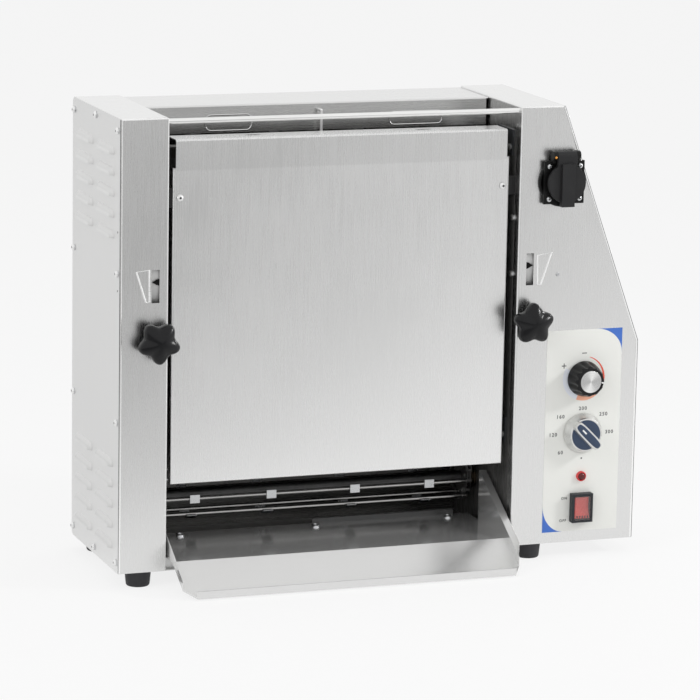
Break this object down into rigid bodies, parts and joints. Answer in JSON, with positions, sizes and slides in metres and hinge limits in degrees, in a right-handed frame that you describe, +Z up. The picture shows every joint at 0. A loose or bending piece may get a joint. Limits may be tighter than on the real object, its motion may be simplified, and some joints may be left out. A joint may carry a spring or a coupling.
{
  "type": "vertical toaster",
  "caption": "Countertop vertical contact toaster: buns drop between a heated platen and a chain conveyor and land on a tray; two thickness knobs, control column.",
  "frame": {"origin": "centre of the part's box on the table, under the feet", "axes": "+Z up, front with the tray and controls towards -Y, +X to the right seen from the front"},
  "size_m": [0.643, 0.291, 0.537],
  "materials": {
    "stainless_sheet": "brushed stainless sheet",
    "tray_steel": "brushed stainless sheet, folded",
    "bright_rod": "drawn stainless wire",
    "zinc_steel": "zinc-plated, satin",
    "dark_steel": "heat-darkened steel",
    "chain_steel": "oiled steel",
    "motor_paint": "dark grey enamel",
    "cast_aluminium": "milled cast aluminium",
    "knob_cap": "spun satin aluminium",
    "bronze": "sintered bronze",
    "foot_rubber": "matte rubber",
    "ceramic_wool": "pressed fibre board",
    "release_film": "coated woven film",
    "knob_black": "glossy moulded plastic",
    "knob_slate": "satin moulded plastic",
    "pointer_black": "matte moulded plastic",
    "panel_plastic": "fine-textured moulded plastic",
    "label_film": "satin printed film",
    "lamp_red": "translucent moulded lens",
    "rocker_red": "glossy moulded plastic",
    "clear_cover": "clear moulded cover"
  },
  "bodies": {
    "housing": {"base_pan": "stainless_sheet", "column_left": "stainless_sheet", "column_right": "stainless_sheet", "side_cover_left": "stainless_sheet", "side_cover_right": "stainless_sheet", "rear_cover": "stainless_sheet", "front_door": "stainless_sheet", "bun_tray": "tray_steel", "guard_rod": "bright_rod", "lane_divider": "bright_rod", "conveyor_rods": "bright_rod", "conveyor_clips": "bright_rod", "cover_screws": "zinc_steel", "door_screws": "zinc_steel", "tray_screws": "zinc_steel", "socket_screws": "zinc_steel", "cross_member": "zinc_steel", "adjuster_brackets": "zinc_steel", "spindle_bushes": "zinc_steel", "motor_standoffs": "zinc_steel", "thermostat": "zinc_steel", "heating_elements": "dark_steel", "platen_brackets": "dark_steel", "conveyor_chains": "chain_steel", "drive_chain": "chain_steel", "gear_motor": "motor_paint", "platen": "cast_aluminium", "shaft_bearings": "bronze", "feet": "foot_rubber", "insulation_pad": "ceramic_wool", "release_sheet": "release_film", "speed_control": "panel_plastic", "power_switch": "panel_plastic", "cable_gland": "panel_plastic", "socket_body": "panel_plastic", "control_label": "label_film", "pilot_lamp": "lamp_red", "switch_cover": "clear_cover"},
    "adjuster_left": {"star_knob_left": "knob_black", "spindle_left": "zinc_steel"},
    "adjuster_right": {"star_knob_right": "knob_black", "spindle_right": "zinc_steel"},
    "press_left": {"pressure_plate_left": "stainless_sheet", "adjuster_yoke_left": "zinc_steel"},
    "press_right": {"pressure_plate_right": "stainless_sheet", "adjuster_yoke_right": "zinc_steel"},
    "indicator_left": {"pointer_left": "pointer_black"},
    "indicator_right": {"pointer_right": "pointer_black"},
    "drive_roller": {"drive_shaft": "zinc_steel", "drive_sprockets": "zinc_steel", "driven_sprocket": "zinc_steel"},
    "idler_roller": {"idler_shaft": "zinc_steel", "idler_sprockets": "zinc_steel"},
    "motor_output": {"output_shaft": "zinc_steel", "motor_sprocket": "zinc_steel"},
    "speed_dial": {"speed_knob": "knob_black", "speed_knob_cap": "knob_cap"},
    "thermostat_dial": {"thermostat_knob": "knob_slate"},
    "rocker": {"power_rocker": "rocker_red"},
    "lid": {"socket_lid": "panel_plastic"}
  },
  "joints": [
    {"name": "thickness_knob_left", "type": "hinge", "parent": "housing", "child": "adjuster_left", "pos_m": [-0.275, -0.0745, 0.286], "axis": [0, 1, 0], "range_deg": [-210, 448]},
    {"name": "press_slide_left", "type": "slide", "parent": "housing", "child": "press_left", "axis": [0, 1, 0], "range_m": [-0.01, 0.0047]},
    {"name": "pointer_turn_left", "type": "hinge", "parent": "housing", "child": "indicator_left", "pos_m": [-0.275, -0.0125, 0.352], "axis": [1, 0, 0], "range_deg": [-8.2, 17.1]},
    {"name": "thickness_knob_right", "type": "hinge", "parent": "housing", "child": "adjuster_right", "pos_m": [0.177, -0.0745, 0.286], "axis": [0, 1, 0], "range_deg": [-210, 448]},
    {"name": "press_slide_right", "type": "slide", "parent": "housing", "child": "press_right", "axis": [0, 1, 0], "range_m": [-0.01, 0.0047]},
    {"name": "pointer_turn_right", "type": "hinge", "parent": "housing", "child": "indicator_right", "pos_m": [0.177, -0.0125, 0.352], "axis": [1, 0, 0], "range_deg": [-8.2, 17.1]},
    {"name": "conveyor_drive", "type": "hinge", "parent": "housing", "child": "drive_roller", "pos_m": [-0.049, 0.05403, 0.074], "axis": [1, 0, 0], "continuous": true},
    {"name": "conveyor_idler", "type": "hinge", "parent": "housing", "child": "idler_roller", "pos_m": [-0.049, 0.05403, 0.4804], "axis": [1, 0, 0], "continuous": true},
    {"name": "motor_turn", "type": "hinge", "parent": "housing", "child": "motor_output", "pos_m": [0.1717, 0.05403, 0.168], "axis": [1, 0, 0], "continuous": true},
    {"name": "speed_turn", "type": "hinge", "parent": "housing", "child": "speed_dial", "pos_m": [0.249, -0.0745, 0.2145], "axis": [0, 1, 0], "range_deg": [-97, 203]},
    {"name": "thermostat_turn", "type": "hinge", "parent": "housing", "child": "thermostat_dial", "pos_m": [0.249, -0.0745, 0.149], "axis": [0, 1, 0], "range_deg": [-135, 135]},
    {"name": "rocker_tilt", "type": "hinge", "parent": "housing", "child": "rocker", "pos_m": [0.249, -0.0735, 0.0586], "axis": [1, 0, 0], "range_deg": [0, 16]},
    {"name": "lid_hinge", "type": "hinge", "parent": "housing", "child": "lid", "pos_m": [0.214, -0.0855, 0.481], "axis": [-1, 0, 0], "range_deg": [0, 105], "stiffness_Nm_per_rad": 0.02, "springref_deg": -20.05}
  ],
  "couplings": [
    {"joint": "press_slide_left", "follows": "thickness_knob_left", "m_per_rad": -0.0012732},
    {"joint": "pointer_turn_left", "follows": "thickness_knob_left", "ratio": 0.037448},
    {"joint": "press_slide_right", "follows": "thickness_knob_right", "m_per_rad": -0.0012732},
    {"joint": "pointer_turn_right", "follows": "thickness_knob_right", "ratio": 0.037448},
    {"joint": "conveyor_idler", "follows": "conveyor_drive", "ratio": 1},
    {"joint": "motor_turn", "follows": "conveyor_drive", "ratio": 1}
  ]
}
